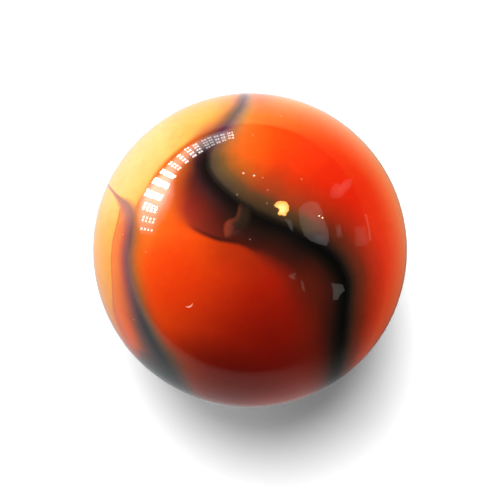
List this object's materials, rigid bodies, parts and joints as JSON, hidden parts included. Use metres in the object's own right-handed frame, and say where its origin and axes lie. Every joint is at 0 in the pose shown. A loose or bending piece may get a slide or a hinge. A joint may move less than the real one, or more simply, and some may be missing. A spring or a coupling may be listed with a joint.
{
  "type": "glass marble",
  "caption": "Solid glass playing marble: a plain ball of opaque orange-red glass, with a dark smoky streak winding over it and a patch of yellow.",
  "frame": {"origin": "centre of the ball", "axes": "+Z out of the face that shows the most of the dark streak, +Y towards the end where that streak leaves this face"},
  "size_m": [0.016, 0.016, 0.016],
  "materials": {
    "swirl_glass": "gloss"
  },
  "bodies": {
    "root": {"marble": "swirl_glass"}
  },
  "joints": []
}
